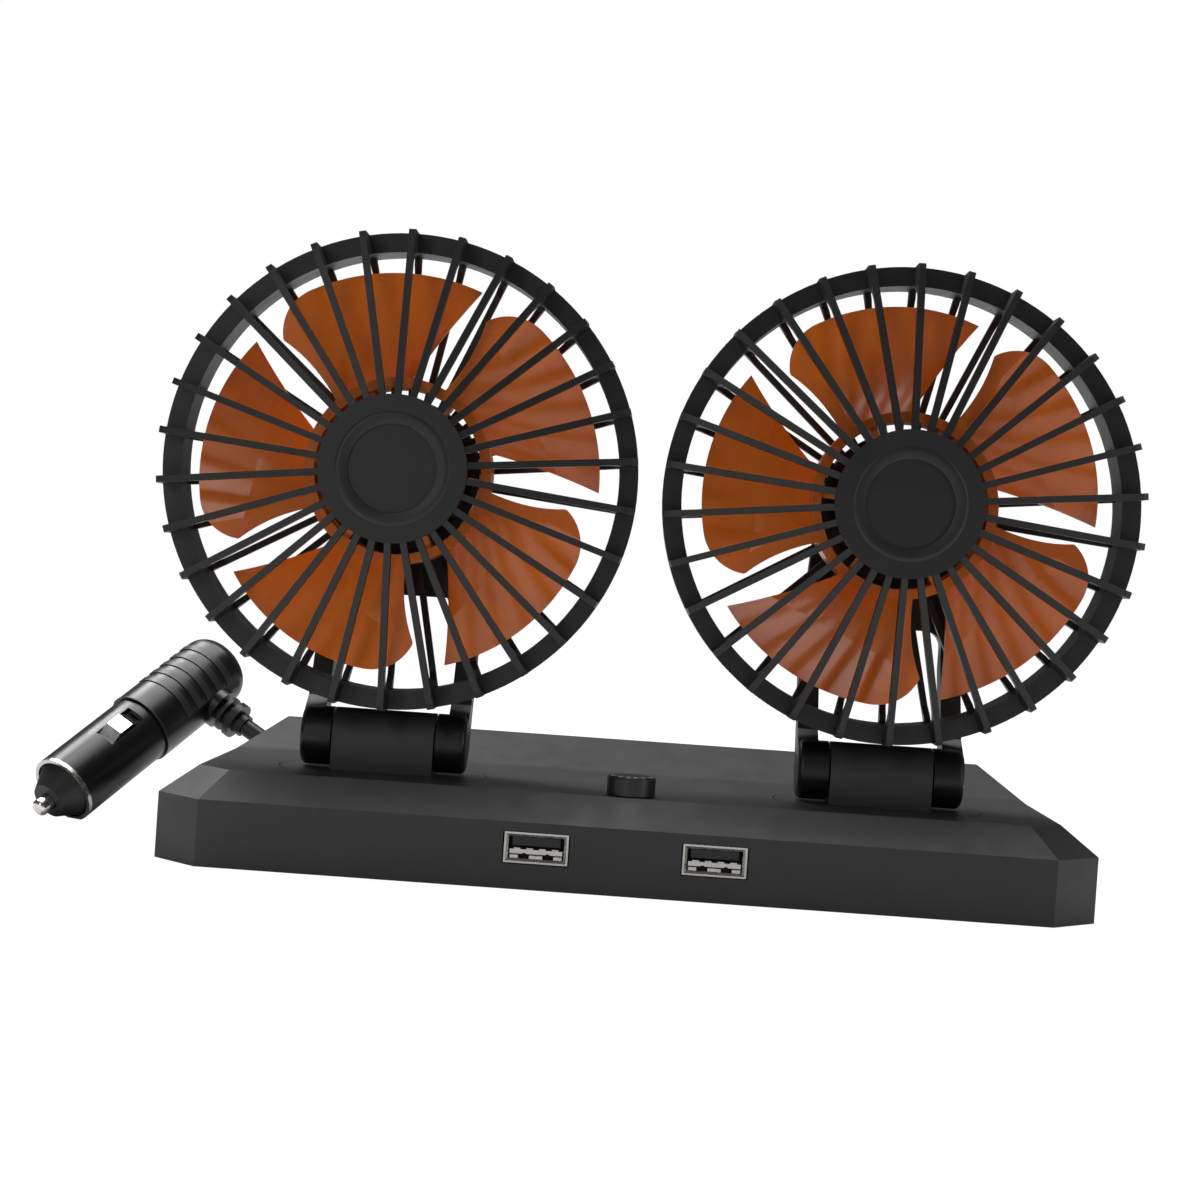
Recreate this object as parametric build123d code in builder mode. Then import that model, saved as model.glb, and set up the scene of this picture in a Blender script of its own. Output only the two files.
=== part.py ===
from build123d import *

import math
import os

os.makedirs("parts", exist_ok=True)

# Base housing, millimetres, origin at the middle of its plan on the floor, front towards -Y.
base_width = 212.0
base_depth = 92.0
side_height = 15.4
deck_height = 21.6
crest_height = 28.8
crease_y = -38.3
ramp_foot_y = 17.4
crest_front_y = 37.5
crest_back_y = 40.5
ramp_blend = 12.0
corner_cut = 11.0
side_slope = 1.29
front_corner_slope = 2.08
back_corner_slope = 0.9
wall = 2.2
foot_gap = 0.5
half_width = base_width / 2
half_depth = base_depth / 2
ceiling = deck_height - wall

# Turntables and the tilt hinges that stand on them.
turntable_x = 57.9
turntable_y = -13.4
disc_radius = 24.1
recess_radius = 24.3
recess_depth = 2.0
disc_gap = 0.1
pad_radius = 26.5
pad_depth = 2.2
collar_radius = 14.0
collar_bore = 6.0
collar_fit = 0.1
retainer_radius = 18.0
retainer_thickness = 1.8
retainer_gap = 0.3
retainer_screw_circle = 10.2
recess_floor = deck_height - recess_depth
pad_bottom = ceiling - pad_depth
collar_bottom = pad_bottom - retainer_gap
hinge_height = 28.9
barrel_radius = 6.9
lug_half_width = 11.8
ear_gap = 0.4
ear_outer = 19.3
ear_inner = lug_half_width + ear_gap
ear_round = 1.4
pin_radius = 1.5
pin_fit = 0.05
pin_half_length = 18.3

# Yoke: two legs that lean back and join in a plate behind the motor pod.
leg_inner = 14.5
arch_top = 62.7
arch_round = 4.0
shoulder_height = 62.0
plate_front = 15.3
plate_thickness = 5.0
plate_back = plate_front + plate_thickness
plate_radius = 17.3
yoke_screw_circle = 14.0
yoke_screw_radius = 1.0
screw_head = 1.2

# Fan guard, measured from the fan's axis; depths are behind the swivel axis.
axis_height = 91.4
ring_outer = 55.0
ring_inner = 50.6
front_ring_front = -8.0
ring_split = -1.0
rear_ring_back = 3.0
bar_count = 30
bar_width = 1.5
front_disc_radius = 16.7
front_disc_front = -25.8
front_disc_back = -23.1
front_disc_dish = 11.8
dish_depth = 0.6
pod_radius = 17.5
pod_wall = 1.6
pod_front = 4.4
pod_floor = 1.8
clamp_wall = 1.5

# Motor and impeller.
motor_radius = 10.5
motor_front = -4.4
motor_back = 13.4
motor_nose_radius = 3.0
motor_nose_front = -6.0
shaft_radius = 1.0
shaft_front = -15.6
shaft_back = -2.6
shaft_fit = 0.06
hub_outer = 21.4
hub_inner = 19.1
hub_front = -13.9
hub_back = -2.4
boss_radius = 3.6
boss_front = -16.4
boss_back = -7.6
rib_count = 6
rib_width = 1.6
rib_front = -13.2
rib_back = -7.6
blade_count = 5
blade_tip = 46.0
blade_front = -13.9
blade_back = -0.9
blade_thickness = 1.5
blade_rise = 10.8
blade_first_tip = 20.0
tip_sector = 62.0
root_lag = 19.0
root_sector = 50.0
blade_corner = 11.0

# Controls, sockets and board.
knob_x = 0.3
knob_y = -32.6
knob_radius = 5.5
knob_bottom = 21.9
knob_top = 26.1
knob_edge = 0.5
stem_radius = 1.5
stem_hole = 1.9
stem_bottom = 12.9
usb_x = 19.75
usb_z = 9.7
usb_width = 13.1
usb_height = 5.7
usb_metal = 0.4
usb_depth = 13.6
usb_front = -45.5
usb_lip = 0.55
usb_opening_width = 14.8
usb_opening_height = 7.2
tongue_width = 10.6
tongue_height = 1.9
tongue_lift = 1.35
board_top = usb_z - usb_height / 2
board_thickness = 1.6
board_half_width = 30.5
board_front = -43.0
board_back = 10.0
board_post_x = 27.0
board_post_front = -20.0
board_post_back = 5.0
board_post_radius = 2.6

# Bottom cover, its screws and the anti-slip pads.
cover_gap = 0.2
cover_thickness = 2.2
cover_top = foot_gap + cover_thickness
cover_post_radius = 3.4
cover_screw_radius = 1.3
cover_head_radius = 2.5
cover_head_height = 1.3
foot_radius = 6.5
foot_height = 1.3
cover_screw_spots = [(-95, -29), (95, -29), (-95, 27), (95, 27), (-30, 31), (30, 31)]
foot_spots = [(-84, -34), (84, -34), (-84, 34), (84, 34)]

# Lead: gland, wound coil and the two free stretches.
cord_radius = 2.3
gland_x = -50.0
gland_z = 8.2
gland_radius = 4.6
gland_tip_radius = 3.4
gland_length = 9.0
gland_hole_radius = 3.4
gland_fit = 0.05
coil_outer = 34.05
coil_pitch = 5.1
coil_y = 91.0
first_run = 13.2
low_layer = 2.35
high_layer = low_layer + coil_pitch
coil_x = gland_x + coil_outer

# Plug: its axis runs from the pin's tip, up and back, and the outlet leaves it square.
plug_point = (-141.6, 24.6, 7.95)
plug_axis = (0.490, 0.700, 0.520)
outlet_axis = (0.843, -0.228, -0.487)
nose_length = 6.0
nose_small_radius = 4.7
nose_large_radius = 7.9
tip_length = 10.0
tip_radius = 2.2
tip_fit = 0.1
tip_head_radius = 3.2
tip_head_back = 3.2
tip_head_front = 1.6
rim_thickness = 1.0
barrel_radius_plug = 9.0
barrel_length = 28.0
barrel_wall = 1.7
window_start = 13.0
window_end = 25.0
window_width = 5.4
handle_radius = 9.6
handle_end = 61.0
handle_wall = 2.0
handle_round = 4.5
outlet_at = 48.5
outlet_radius = 5.4
outlet_length = 13.2
fuse_radius = 3.0
fuse_start = 9.5
fuse_end = 27.0
spring_turns = 4
spring_radius = 2.3
spring_wire = 0.35
contact_thickness = 0.5
contact_half_width = 2.3
contact_rise = 0.9
contact_tuck = 0.7


def save(piece, name):
    piece.label = name
    export_step(piece, f"parts/{name}.step")


def housing_block(inset, floor):
    with BuildPart() as block:
        with BuildSketch(Plane.YZ) as section:
            with BuildLine():
                Polyline(
                    (-half_depth, floor),
                    (-half_depth, side_height),
                    (crease_y, deck_height),
                    (ramp_foot_y, deck_height),
                    (crest_front_y, crest_height),
                    (crest_back_y, crest_height),
                    (half_depth, side_height),
                    (half_depth, floor),
                    close=True,
                )
            make_face()
            foot = section.vertices().sort_by_distance((0, ramp_foot_y, deck_height))[0]
            fillet(foot, ramp_blend)
            if inset > 0:
                offset(amount=-inset, kind=Kind.INTERSECTION)
        extrude(amount=half_width - inset, both=True)
        for side in (-1, 1):
            facets = [
                ((side * half_width, 0, side_height), (side, 0, side_slope)),
                ((side * half_width, -half_depth + corner_cut, 0), (side, -1, 0)),
                ((side * half_width, half_depth - corner_cut, 0), (side, 1, 0)),
                (
                    (side * half_width, -half_depth + corner_cut, side_height),
                    (side, -1, front_corner_slope),
                ),
                (
                    (side * half_width, half_depth - corner_cut, side_height),
                    (side, 1, back_corner_slope),
                ),
            ]
            for spot, normal in facets:
                facet = Plane(origin=spot, z_dir=normal).offset(-inset)
                split(bisect_by=facet, keep=Keep.BOTTOM)
    return block.part


def plan_outline(inset):
    reach = half_width - inset
    depth = half_depth - inset
    cut = corner_cut - inset * (2 - math.sqrt(2))
    return [
        (-reach + cut, -depth),
        (reach - cut, -depth),
        (reach, -depth + cut),
        (reach, depth - cut),
        (reach - cut, depth),
        (-reach + cut, depth),
        (-reach, depth - cut),
        (-reach, -depth + cut),
    ]


outer_block = housing_block(0, foot_gap)
mid_block = housing_block(wall / 2, -half_depth)
inner_block = housing_block(wall, -half_depth)
turntable_spots = [(-turntable_x, turntable_y), (turntable_x, turntable_y)]
board_spots = [
    (side * board_post_x, depth) for side in (-1, 1) for depth in (board_post_front, board_post_back)
]

with BuildPart() as cover_posts:
    with BuildSketch(Plane.XY.offset(cover_top)):
        with Locations(*cover_screw_spots):
            Circle(cover_post_radius)
    extrude(amount=crest_height)
    add(mid_block, mode=Mode.INTERSECT)

with BuildPart() as base_shell:
    add(outer_block)
    add(inner_block, mode=Mode.SUBTRACT)
    with BuildSketch(Plane.XY.offset(pad_bottom)):
        with Locations(*turntable_spots):
            Circle(pad_radius)
    extrude(amount=recess_floor + disc_gap - pad_bottom)
    with BuildSketch(Plane.XY.offset(board_top)):
        with Locations(*board_spots):
            Circle(board_post_radius)
    extrude(amount=ceiling + disc_gap - board_top)
    add(cover_posts.part)
    with BuildSketch(Plane.XY.offset(recess_floor)):
        with Locations(*turntable_spots):
            Circle(recess_radius)
    extrude(amount=crest_height, mode=Mode.SUBTRACT)
    with BuildSketch(Plane.XY.offset(pad_bottom - wall)):
        with Locations(*turntable_spots):
            Circle(collar_radius + collar_fit)
    extrude(amount=crest_height, mode=Mode.SUBTRACT)
    with BuildSketch(Plane.XY.offset(ceiling - wall)):
        with Locations((knob_x, knob_y)):
            Circle(stem_hole)
    extrude(amount=crest_height, mode=Mode.SUBTRACT)
    with BuildSketch(Plane.XZ.offset(half_depth + wall)):
        with Locations((-usb_x, usb_z), (usb_x, usb_z)):
            Rectangle(usb_opening_width, usb_opening_height)
    extrude(amount=-3 * wall, mode=Mode.SUBTRACT)
    with BuildSketch(Plane.XZ.offset(-half_depth - wall)):
        with Locations((gland_x, gland_z)):
            Circle(gland_hole_radius)
    extrude(amount=3 * wall, mode=Mode.SUBTRACT)
save(base_shell.part, "base_shell")

with BuildPart() as bottom_cover:
    with BuildSketch(Plane.XY.offset(foot_gap)):
        Polygon(*plan_outline(wall + cover_gap), align=None)
    extrude(amount=cover_thickness)
    with BuildSketch(Plane.XY):
        with Locations(*foot_spots):
            Circle(foot_radius)
    extrude(amount=foot_height, mode=Mode.SUBTRACT)
    with BuildSketch(Plane.XY):
        with Locations(*cover_screw_spots):
            Circle(cover_head_radius)
    extrude(amount=foot_gap + cover_head_height, mode=Mode.SUBTRACT)
    with BuildSketch(Plane.XY):
        with Locations(*cover_screw_spots):
            Circle(cover_screw_radius)
    extrude(amount=cover_top + wall, mode=Mode.SUBTRACT)
save(bottom_cover.part, "bottom_cover")

with BuildPart() as cover_screws:
    with BuildSketch(Plane.XY.offset(foot_gap + cover_gap)):
        with Locations(*cover_screw_spots):
            Circle(cover_head_radius - cover_gap)
    extrude(amount=cover_head_height - cover_gap)
    with BuildSketch(Plane.XY.offset(foot_gap + cover_head_height)):
        with Locations(*cover_screw_spots):
            Circle(cover_screw_radius - pin_fit)
    extrude(amount=cover_thickness - cover_head_height)
save(cover_screws.part, "cover_screws")

with BuildPart() as anti_slip_pads:
    with BuildSketch(Plane.XY):
        with Locations(*foot_spots):
            Circle(foot_radius - cover_gap)
    extrude(amount=foot_height)
save(anti_slip_pads.part, "anti_slip_pads")

# One head, modelled about its swivel axis and saved once for each side.
fan_plane = Plane(origin=(0, 0, axis_height), x_dir=(1, 0, 0), z_dir=(0, -1, 0))
spoke_plane = Plane(origin=(0, 0, 0), x_dir=(1, 0, 0), z_dir=(0, -1, 0))
retainer_spots = [
    (retainer_screw_circle * math.cos(math.radians(turn)), retainer_screw_circle * math.sin(math.radians(turn)))
    for turn in (90, 210, 330)
]

with BuildPart() as turntable:
    with BuildSketch(Plane.XY.offset(recess_floor + disc_gap)):
        Circle(disc_radius)
    extrude(amount=recess_depth - disc_gap)
    with BuildSketch(Plane.XY.offset(collar_bottom)):
        Circle(collar_radius)
        Circle(collar_bore, mode=Mode.SUBTRACT)
    extrude(amount=recess_floor + disc_gap - collar_bottom)
    with BuildSketch(Plane.YZ):
        with Locations((0, hinge_height)):
            Circle(barrel_radius)
        with Locations((0, (hinge_height + recess_floor) / 2)):
            Rectangle(2 * barrel_radius, hinge_height - recess_floor - disc_gap * 2)
        with Locations((0, hinge_height)):
            Circle(pin_radius, mode=Mode.SUBTRACT)
    extrude(amount=lug_half_width, both=True)

with BuildPart() as retainer_ring:
    with BuildSketch(Plane.XY.offset(collar_bottom - retainer_thickness)):
        Circle(retainer_radius)
        Circle(collar_bore, mode=Mode.SUBTRACT)
        with Locations(*retainer_spots):
            Circle(yoke_screw_radius, mode=Mode.SUBTRACT)
    extrude(amount=retainer_thickness)

with BuildPart() as retainer_screws:
    with BuildSketch(Plane.XY.offset(collar_bottom - retainer_thickness)):
        with Locations(*retainer_spots):
            Circle(yoke_screw_radius - pin_fit)
    extrude(amount=retainer_thickness)
    with BuildSketch(Plane.XY.offset(collar_bottom - retainer_thickness)):
        with Locations(*retainer_spots):
            Circle(2 * yoke_screw_radius)
    extrude(amount=-screw_head)

with BuildPart() as hinge_pin:
    with BuildSketch(Plane.YZ):
        with Locations((0, hinge_height)):
            Circle(pin_radius)
    extrude(amount=pin_half_length, both=True)

def ear_plane(side):
    return Plane(origin=(side * ear_inner, 0, hinge_height), x_dir=(0, 1, 0), z_dir=(side, 0, 0))


def ear(side):
    with BuildPart() as barrel:
        with BuildSketch(ear_plane(side)):
            Circle(barrel_radius)
        extrude(amount=ear_outer - ear_inner)
        fillet(barrel.edges().sort_by(Axis.X)[-1 if side > 0 else 0], ear_round)
    return barrel.part


with BuildPart() as yoke:
    with BuildSketch(Plane.XZ.offset(3 * barrel_radius)) as front_outline:
        Polygon(
            (-ear_outer, 0),
            (ear_outer, 0),
            (ear_outer, shoulder_height),
            (plate_radius, axis_height),
            (-plate_radius, axis_height),
            (-ear_outer, shoulder_height),
            align=None,
        )
        with Locations((0, axis_height)):
            Circle(plate_radius)
        with Locations((0, arch_top / 2)):
            Rectangle(2 * leg_inner, arch_top, mode=Mode.SUBTRACT)
        arch_corners = front_outline.vertices().filter_by_position(Axis.Y, arch_top - 1, arch_top + 1)
        fillet(arch_corners, arch_round)
    extrude(amount=-3 * barrel_radius - plate_back)
    with BuildSketch(Plane.YZ):
        Polygon(
            (-4.6, hinge_height - 1),
            (-3.4, hinge_height + 4.2),
            (4.4, 38.0),
            (plate_front, 56.5),
            (plate_front, 2 * axis_height),
            (plate_back, 2 * axis_height),
            (plate_back, 53.5),
            (10.6, 36.5),
            (6.2, hinge_height - 2.5),
            align=None,
        )
    extrude(amount=2 * ear_outer, both=True, mode=Mode.INTERSECT)
    for side in (-1, 1):
        add(ear(side))
        with BuildSketch(ear_plane(side)):
            Circle(pin_radius + pin_fit)
        extrude(amount=pin_half_length + cover_gap - ear_inner, mode=Mode.SUBTRACT)
    with BuildSketch(Plane.XZ.offset(-plate_back)):
        with Locations((0, axis_height)):
            with PolarLocations(yoke_screw_circle, 3, start_angle=90):
                Circle(2 * yoke_screw_radius)
    extrude(amount=screw_head, mode=Mode.SUBTRACT)
    with BuildSketch(Plane.XZ.offset(-plate_back)):
        with Locations((0, axis_height)):
            with PolarLocations(yoke_screw_circle, 3, start_angle=90):
                Circle(yoke_screw_radius)
    extrude(amount=plate_thickness, mode=Mode.SUBTRACT)

with BuildPart() as yoke_screws:
    with BuildSketch(Plane.XZ.offset(-plate_back)):
        with Locations((0, axis_height)):
            with PolarLocations(yoke_screw_circle, 3, start_angle=90):
                Circle(2 * yoke_screw_radius - pin_fit)
    extrude(amount=screw_head)
    with BuildSketch(Plane.XZ.offset(-plate_back)):
        with Locations((0, axis_height)):
            with PolarLocations(yoke_screw_circle, 3, start_angle=90):
                Circle(yoke_screw_radius - pin_fit)
    extrude(amount=plate_thickness + pod_floor + 4)


def spoke(outline):
    with BuildPart() as bar:
        with BuildSketch(Plane(origin=(0, 0, 0), x_dir=(0, 1, 0), z_dir=(-1, 0, 0))):
            Polygon(*outline, align=None)
        extrude(amount=bar_width / 2, both=True)
    return bar.part


front_spoke = spoke(
    [
        (front_disc_radius - 2.5, -25.5),
        (53.6, -17.3),
        (54.7, -16.9),
        (ring_outer, -15.6),
        (ring_outer, front_ring_front + 0.4),
        (ring_inner + 0.2, front_ring_front + 0.4),
        (ring_inner - 1.1, -13.6),
        (ring_inner - 3.2, -16.0),
        (front_disc_radius - 2.5, front_disc_back),
    ]
)
rear_spoke = spoke(
    [
        (ring_inner + 0.5, ring_split + 0.8),
        (ring_inner + 0.5, rear_ring_back - 0.1),
        (pod_radius - 0.5, 8.2),
        (pod_radius - 0.5, 6.0),
        (ring_inner - 3.6, 1.8),
        (ring_inner - 1.6, ring_split + 0.8),
    ]
)

with BuildPart() as front_grille:
    with BuildSketch(fan_plane.offset(-ring_split)):
        Circle(ring_outer)
        Circle(ring_inner, mode=Mode.SUBTRACT)
    extrude(amount=ring_split - front_ring_front)
    with BuildSketch(fan_plane.offset(-front_disc_back)):
        Circle(front_disc_radius)
    extrude(amount=front_disc_back - front_disc_front)
    with BuildSketch(fan_plane.offset(-front_disc_front)):
        Circle(front_disc_dish)
    extrude(amount=-dish_depth, mode=Mode.SUBTRACT)
    with Locations(fan_plane):
        with PolarLocations(0, bar_count):
            add(front_spoke)

with BuildPart() as rear_grille:
    with BuildSketch(fan_plane.offset(-ring_split)):
        Circle(ring_outer)
        Circle(ring_inner, mode=Mode.SUBTRACT)
    extrude(amount=ring_split - rear_ring_back)
    with Locations(fan_plane):
        with PolarLocations(0, bar_count):
            add(rear_spoke)
    with BuildSketch(fan_plane.offset(-pod_front)):
        Circle(pod_radius)
        Circle(pod_radius - pod_wall, mode=Mode.SUBTRACT)
    extrude(amount=pod_front - plate_front)
    with BuildSketch(fan_plane.offset(-plate_front)):
        Circle(pod_radius)
    extrude(amount=pod_floor)
    with BuildSketch(fan_plane.offset(-pod_front)):
        Circle(motor_radius + pin_fit + clamp_wall)
        with PolarLocations(yoke_screw_circle, 3, start_angle=90):
            Circle(2 * yoke_screw_radius + 0.4)
        Circle(motor_radius + pin_fit, mode=Mode.SUBTRACT)
    extrude(amount=pod_front - plate_front + pod_floor)
    with BuildSketch(fan_plane.offset(-plate_front)):
        with PolarLocations(yoke_screw_circle, 3, start_angle=90):
            Circle(yoke_screw_radius)
    extrude(amount=pod_floor + 4.2, mode=Mode.SUBTRACT)

with BuildPart() as motor:
    with BuildSketch(fan_plane.offset(-motor_back)):
        Circle(motor_radius)
    extrude(amount=motor_back - motor_front)
    with BuildSketch(fan_plane.offset(-motor_front)):
        Circle(motor_nose_radius)
    extrude(amount=motor_front - motor_nose_front)
    with BuildSketch(fan_plane.offset(-motor_nose_front)):
        Circle(shaft_radius + shaft_fit)
    extrude(amount=motor_nose_front - shaft_back - cover_gap, mode=Mode.SUBTRACT)

with BuildPart() as motor_shaft:
    with BuildSketch(fan_plane.offset(-shaft_back)):
        Circle(shaft_radius)
    extrude(amount=shaft_back - shaft_front)


def on_circle(radius, turn):
    angle = math.radians(turn)
    return (radius * math.sin(angle), radius * math.cos(angle))


def blade(tip_turn):
    middle = tip_turn - tip_sector / 2
    root_end = tip_turn - root_lag
    root_start = root_end - root_sector
    root = (hub_inner + hub_outer) / 2
    with BuildPart() as slab:
        for radius in (hub_inner - 2, (hub_inner + blade_tip) / 2, blade_tip + 8):
            lean = math.atan2(blade_rise, radius)
            around = math.radians(middle)
            outward = Vector(math.sin(around), 0, math.cos(around))
            along = Vector(math.cos(around), 0, -math.sin(around)) * math.cos(lean)
            along += Vector(0, 1, 0) * math.sin(lean)
            spot = outward * radius + Vector(0, (blade_front + blade_back) / 2, 0)
            with BuildSketch(Plane(origin=spot, x_dir=along, z_dir=outward)):
                Rectangle(2.6 * blade_tip, blade_thickness)
        loft(ruled=True)
    with BuildPart() as wing:
        with BuildSketch(spoke_plane.offset(-blade_back)) as plan:
            with BuildLine():
                tip_arc = ThreePointArc(
                    on_circle(blade_tip, tip_turn - tip_sector),
                    on_circle(blade_tip, middle),
                    on_circle(blade_tip, tip_turn),
                )
                trailing = ThreePointArc(
                    tip_arc @ 1,
                    on_circle((root + blade_tip) / 2, tip_turn - root_lag * 0.36),
                    on_circle(root, root_end),
                )
                root_arc = ThreePointArc(
                    trailing @ 1,
                    on_circle(root, (root_start + root_end) / 2),
                    on_circle(root, root_start),
                )
                ThreePointArc(
                    root_arc @ 1,
                    on_circle((root + blade_tip) / 2, (root_start + tip_turn - tip_sector) / 2 - 3),
                    tip_arc @ 0,
                )
            make_face()
            shoulder = plan.vertices().sort_by_distance((*on_circle(blade_tip, tip_turn - tip_sector), 0))[0]
            fillet(shoulder, blade_corner)
        extrude(amount=blade_back - blade_front)
        add(slab.part, mode=Mode.INTERSECT)
    return wing.part


with BuildPart() as impeller:
    with BuildSketch(spoke_plane.offset(-hub_back)):
        Circle(hub_outer)
        Circle(hub_inner, mode=Mode.SUBTRACT)
    extrude(amount=hub_back - hub_front)
    with BuildSketch(spoke_plane.offset(-rib_back)):
        with PolarLocations((hub_inner + boss_radius) / 2 - 0.2, rib_count, start_angle=55.5):
            Rectangle(hub_inner - boss_radius + 1.6, rib_width)
    extrude(amount=rib_back - rib_front)
    with BuildSketch(spoke_plane.offset(-boss_back)):
        Circle(boss_radius)
    extrude(amount=boss_back - boss_front)
    for number in range(blade_count):
        add(blade(blade_first_tip + number * 360 / blade_count))
    with BuildSketch(spoke_plane.offset(-boss_back)):
        Circle(shaft_radius)
    extrude(amount=boss_back - shaft_front, mode=Mode.SUBTRACT)

head_pieces = {
    "turntable": turntable.part,
    "retainer_ring": retainer_ring.part,
    "retainer_screws": retainer_screws.part,
    "hinge_pin": hinge_pin.part,
    "yoke": yoke.part,
    "yoke_screws": yoke_screws.part,
    "front_grille": front_grille.part,
    "rear_grille": rear_grille.part,
    "motor": motor.part,
    "motor_shaft": motor_shaft.part,
    "impeller": impeller.part.moved(Location((0, 0, axis_height))),
}
for side, spot in (("left", -turntable_x), ("right", turntable_x)):
    for name, piece in head_pieces.items():
        save(piece.moved(Location((spot, turntable_y, 0))), f"{name}_{side}")

with BuildPart() as speed_knob:
    with BuildSketch(Plane.XY.offset(knob_bottom)):
        with Locations((knob_x, knob_y)):
            Circle(knob_radius)
    extrude(amount=knob_top - knob_bottom)
    fillet(speed_knob.faces().sort_by(Axis.Z)[-1].edges(), knob_edge)
    with BuildSketch(Plane.XY.offset(knob_bottom)):
        with Locations((knob_x, knob_y)):
            Circle(stem_radius)
    extrude(amount=knob_top - knob_bottom - wall / 2, mode=Mode.SUBTRACT)
save(speed_knob.part, "speed_knob")

with BuildPart() as knob_stem:
    with BuildSketch(Plane.XY.offset(stem_bottom)):
        with Locations((knob_x, knob_y)):
            Circle(stem_radius)
    extrude(amount=knob_top - wall / 2 - stem_bottom)
save(knob_stem.part, "knob_stem")

with BuildPart() as speed_control:
    with BuildSketch(Plane.XY.offset(board_top)):
        with Locations((knob_x, knob_y)):
            RectangleRounded(11, 11, 1)
    extrude(amount=stem_bottom - board_top + 3)
    with BuildSketch(Plane.XY.offset(stem_bottom - ear_gap)):
        with Locations((knob_x, knob_y)):
            Circle(stem_radius + pin_fit)
    extrude(amount=wall + wall, mode=Mode.SUBTRACT)
save(speed_control.part, "speed_control")

with BuildPart() as circuit_board:
    with BuildSketch(Plane.XY.offset(board_top - board_thickness)):
        with Locations((0, (board_front + board_back) / 2)):
            Rectangle(2 * board_half_width, board_back - board_front)
        with Locations(*board_spots):
            Circle(yoke_screw_radius, mode=Mode.SUBTRACT)
    extrude(amount=board_thickness)
save(circuit_board.part, "circuit_board")

with BuildPart() as board_screws:
    with BuildSketch(Plane.XY.offset(board_top - board_thickness)):
        with Locations(*board_spots):
            Circle(yoke_screw_radius - pin_fit)
    extrude(amount=board_thickness)
    with BuildSketch(Plane.XY.offset(board_top - board_thickness)):
        with Locations(*board_spots):
            Circle(2 * yoke_screw_radius)
    extrude(amount=-screw_head)
save(board_screws.part, "board_screws")

with BuildPart() as board_parts:
    with BuildSketch(Plane.XY.offset(board_top)):
        with Locations((-9, -4), (9, -4)):
            Circle(3.2)
    extrude(amount=8)
    with BuildSketch(Plane.XY.offset(board_top)):
        with Locations((0, -16)):
            RectangleRounded(7, 7, 1.5)
    extrude(amount=4.5)
    with BuildSketch(Plane.XY.offset(board_top)):
        with Locations((-19, -24), (19, -24)):
            Rectangle(5, 4)
    extrude(amount=1.6)
save(board_parts.part, "board_parts")


def usb_block(centre, grow):
    with BuildPart() as block:
        with BuildSketch(Plane.XZ.offset(-usb_front - usb_lip)):
            with Locations((centre, usb_z)):
                Rectangle(usb_width + 2 * grow, usb_height + 2 * grow)
        extrude(amount=usb_lip - usb_depth)
        with BuildSketch(Plane.XZ.offset(-usb_front - usb_lip)):
            with Locations((centre, usb_z)):
                Rectangle(usb_width + 2 * grow, usb_height + 2 * grow)
        with BuildSketch(Plane.XZ.offset(-usb_front)):
            with Locations((centre, usb_z)):
                Rectangle(usb_width + 2 * (grow + usb_lip), usb_height + 2 * (grow + usb_lip))
        loft()
    return block.part


for side, centre in (("left", -usb_x), ("right", usb_x)):
    with BuildPart() as usb_shell:
        add(usb_block(centre, 0))
        add(usb_block(centre, -usb_metal), mode=Mode.SUBTRACT)
        with BuildSketch(Plane.XZ.offset(-usb_front - usb_depth)):
            with Locations((centre, usb_z)):
                Rectangle(usb_width, usb_height)
        extrude(amount=-usb_metal)
    save(usb_shell.part, f"usb_shell_{side}")

    with BuildPart() as usb_tongue:
        with BuildSketch(Plane.XZ.offset(-usb_front - usb_depth)):
            with Locations((centre, usb_z)):
                Rectangle(usb_width - 2 * usb_metal, usb_height - 2 * usb_metal)
        extrude(amount=wall)
        with BuildSketch(Plane.XZ.offset(-usb_front - usb_depth + wall)):
            with Locations((centre, usb_z + tongue_lift)):
                Rectangle(tongue_width, tongue_height)
        extrude(amount=usb_depth - wall - 2 * usb_lip)
    save(usb_tongue.part, f"usb_tongue_{side}")

with BuildPart() as cord_gland:
    with BuildSketch(Plane.XZ.offset(-half_depth)):
        with Locations((gland_x, gland_z)):
            Circle(gland_radius)
    with BuildSketch(Plane.XZ.offset(-half_depth - gland_length)):
        with Locations((gland_x, gland_z)):
            Circle(gland_tip_radius)
    loft()
    with BuildSketch(Plane.XZ.offset(-half_depth)):
        with Locations((gland_x, gland_z)):
            Circle(gland_hole_radius - gland_fit)
    extrude(amount=wall)
    with BuildSketch(Plane.XZ.offset(-half_depth + wall)):
        with Locations((gland_x, gland_z)):
            Circle(gland_radius)
    extrude(amount=wall)
save(cord_gland.part, "cord_gland")


def tube(route):
    with BuildPart() as run:
        with BuildSketch(Plane(origin=route @ 0, z_dir=route % 0)):
            Circle(cord_radius)
        sweep(path=route)
    return run.part


def corner_radii(points):
    radii = []
    for before, corner, after in zip(points, points[1:], points[2:]):
        first = Vector(*corner) - Vector(*before)
        second = Vector(*after) - Vector(*corner)
        half_turn = math.radians(first.get_angle(second)) / 2
        radii.append(0.45 * min(first.length, second.length) / math.tan(half_turn))
    return radii


def report(name, route, piece, radii):
    ideal = math.pi * cord_radius**2 * route.length
    print(name, "length", round(route.length, 1), "volume ratio", round(piece.volume / ideal, 4))
    print("  radii", [round(radius, 1) for radius in radii])


plug_start = Vector(*plug_point)
plug_way = Vector(*plug_axis).normalized()
outlet_way = Vector(*outlet_axis)
outlet_way = (outlet_way - plug_way * outlet_way.dot(plug_way)).normalized()
cord_end = plug_start + plug_way * outlet_at + outlet_way * (outlet_radius + outlet_length)

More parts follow.
